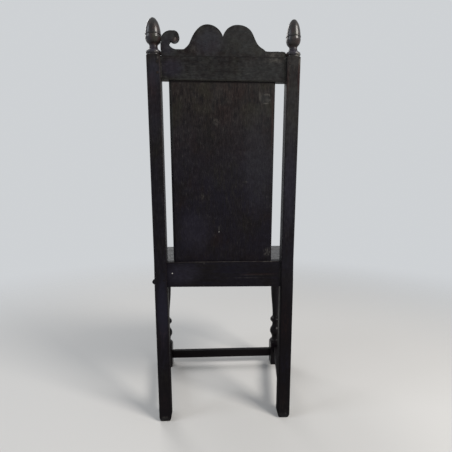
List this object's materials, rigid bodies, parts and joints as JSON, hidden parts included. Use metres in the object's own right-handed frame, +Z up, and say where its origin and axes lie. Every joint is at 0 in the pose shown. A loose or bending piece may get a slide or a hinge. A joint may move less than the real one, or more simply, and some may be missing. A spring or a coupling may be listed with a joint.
{
  "type": "wainscot chair",
  "caption": "Joined oak side chair: raked square rear posts with acorn finials, scrolled cresting, plank back, boarded seat, turned front legs, low stretchers.",
  "frame": {"origin": "on the floor, under the middle of the chair's length and width", "axes": "+Z up; the chair faces -Y, so +X is the sitter's left and +Y is behind the back"},
  "size_m": [0.4984, 0.4341, 1.1128],
  "materials": {
    "frame_oak": "blackened oak, old wax, low sheen",
    "rail_oak": "blackened oak, dull and dusty",
    "panel_oak": "blackened oak plank, worn matt on the back",
    "seat_oak": "dark oak, polished by use",
    "peg_oak": "blackened oak end grain"
  },
  "bodies": {
    "root": {"rear_post_left": "frame_oak", "rear_post_right": "frame_oak", "rear_seat_rail": "frame_oak", "top_rail": "rail_oak", "cresting": "rail_oak", "back_panel": "panel_oak", "side_seat_rail_left": "frame_oak", "side_seat_rail_right": "frame_oak", "front_seat_rail": "frame_oak", "front_leg_left": "frame_oak", "front_leg_right": "frame_oak", "front_stretcher": "frame_oak", "side_stretcher_left": "frame_oak", "side_stretcher_right": "frame_oak", "seat_board_rear": "seat_oak", "seat_board_middle": "seat_oak", "seat_board_front": "seat_oak", "cresting_dowels": "peg_oak", "top_rail_pegs": "peg_oak", "rear_rail_pegs": "peg_oak", "proud_side_rail_peg": "peg_oak", "side_rail_pegs": "peg_oak", "front_rail_pegs": "peg_oak", "front_stretcher_pegs": "peg_oak", "side_stretcher_pegs": "peg_oak", "seat_pegs": "peg_oak"}
  },
  "joints": []
}
